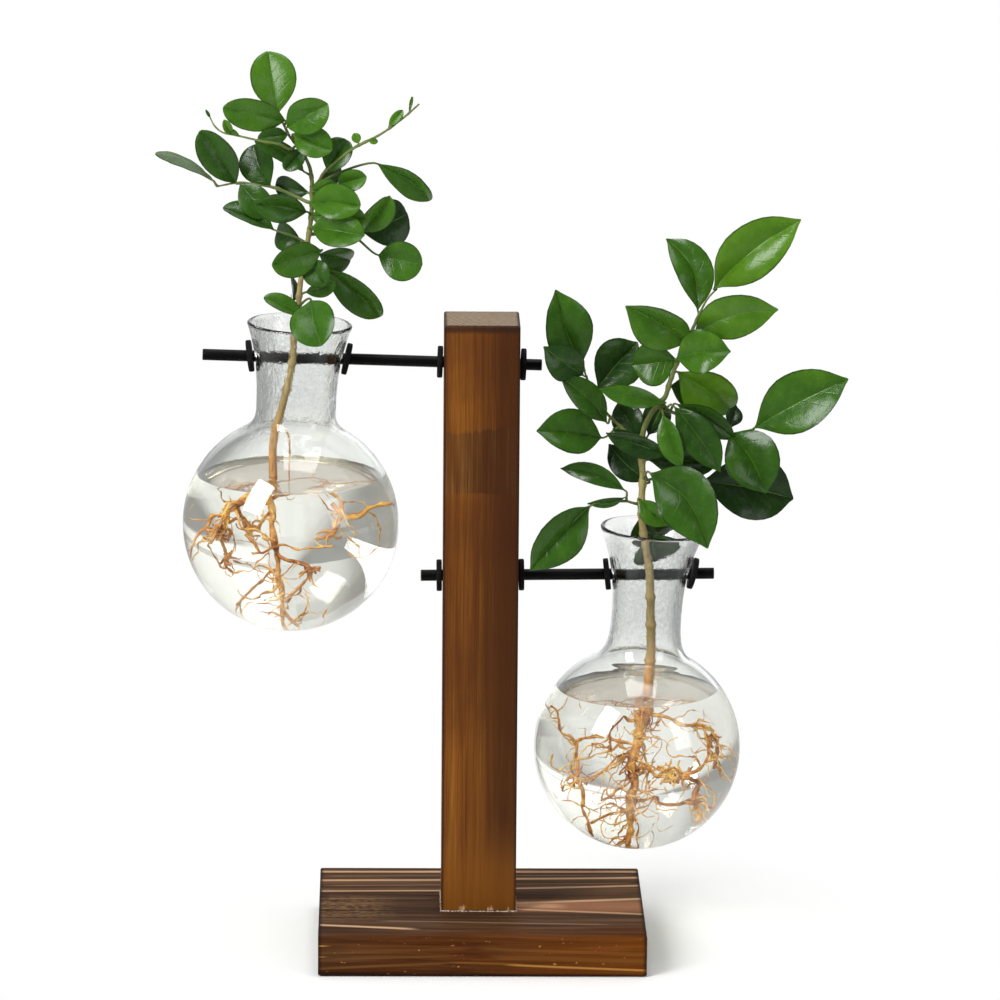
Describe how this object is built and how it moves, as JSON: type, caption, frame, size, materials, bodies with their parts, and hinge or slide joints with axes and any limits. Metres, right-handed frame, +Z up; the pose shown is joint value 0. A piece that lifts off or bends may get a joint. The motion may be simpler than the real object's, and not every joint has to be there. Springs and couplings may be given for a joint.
{
  "type": "hydroponic vase",
  "caption": "Round glass flasks of water with rooted cuttings, hung by their necks on black rods through a square wooden post on a flat board.",
  "frame": {"origin": "centre of the base board's underside", "axes": "+Z up along the post, +X to the right along the rods with the lower flask on the +X side, -Y towards the viewer"},
  "size_m": [0.2553, 0.0896, 0.3367],
  "materials": {
    "base_wood": "dark stained, satin",
    "post_wood": "brown stained, satin",
    "screw_steel": "plain",
    "washer_rubber": "matt",
    "rod_steel": "satin black",
    "flask_glass": "clear, polished",
    "water": "clear",
    "stem": "matt bark",
    "upper_leaf": "satin green leaf",
    "lower_leaf": "glossy green leaf",
    "root": "matt root"
  },
  "bodies": {
    "stand": {"base_board": "base_wood", "post": "post_wood", "base_screw_left": "screw_steel", "base_screw_right": "screw_steel", "upper_post_washer_left": "washer_rubber", "upper_post_washer_right": "washer_rubber", "lower_post_washer_left": "washer_rubber", "lower_post_washer_right": "washer_rubber"},
    "upper_rod": {"upper_rod": "rod_steel"},
    "lower_rod": {"lower_rod": "rod_steel"},
    "upper_flask": {"upper_flask": "flask_glass", "upper_neck_washer_left": "washer_rubber", "upper_neck_washer_right": "washer_rubber", "upper_stem": "stem", "upper_leader": "upper_leaf", "upper_left_shoot": "upper_leaf", "upper_right_shoot": "upper_leaf", "upper_young_shoot": "upper_leaf", "upper_top_shoot": "upper_leaf", "upper_roots": "root"},
    "lower_flask": {"lower_flask": "flask_glass", "lower_neck_washer_left": "washer_rubber", "lower_neck_washer_right": "washer_rubber", "lower_stem": "stem", "lower_leader": "lower_leaf", "lower_foot_shoot": "lower_leaf", "lower_left_shoot": "lower_leaf", "lower_right_shoot": "lower_leaf", "lower_top_shoot": "lower_leaf", "lower_roots": "root"},
    "upper_water": {"upper_water": "water"},
    "lower_water": {"lower_water": "water"}
  },
  "joints": [
    {"name": "upper_rod_slide", "type": "slide", "parent": "stand", "child": "upper_rod", "axis": [0.9996, 0, -0.0279], "range_m": [-0.005, 0.008]},
    {"name": "lower_rod_slide", "type": "slide", "parent": "stand", "child": "lower_rod", "axis": [0.9999, 0, 0.0105], "range_m": [-0.003, 0.005]},
    {"name": "upper_flask_swing", "type": "hinge", "parent": "upper_rod", "child": "upper_flask", "pos_m": [-0.06864, 0.0009, 0.22362], "axis": [0.9996, 0, -0.0279], "range_deg": [-35, 35]},
    {"name": "lower_flask_swing", "type": "hinge", "parent": "lower_rod", "child": "lower_flask", "pos_m": [0.06172, 0.0009, 0.14209], "axis": [0.9999, 0, 0.0105], "range_deg": [-35, 35]},
    {"name": "upper_water_level", "type": "hinge", "parent": "upper_flask", "child": "upper_water", "pos_m": [-0.07137, 0.0009, 0.16098], "axis": [0.9996, 0, -0.0279], "range_deg": [-36, 36], "deforming": ["upper_water"]},
    {"name": "lower_water_level", "type": "hinge", "parent": "lower_flask", "child": "lower_water", "pos_m": [0.0579, 0.0009, 0.0758], "axis": [0.9999, 0, 0.0105], "range_deg": [-36, 36], "deforming": ["lower_water"]}
  ],
  "couplings": [
    {"joint": "upper_water_level", "follows": "upper_flask_swing", "ratio": -1},
    {"joint": "lower_water_level", "follows": "lower_flask_swing", "ratio": -1}
  ]
}
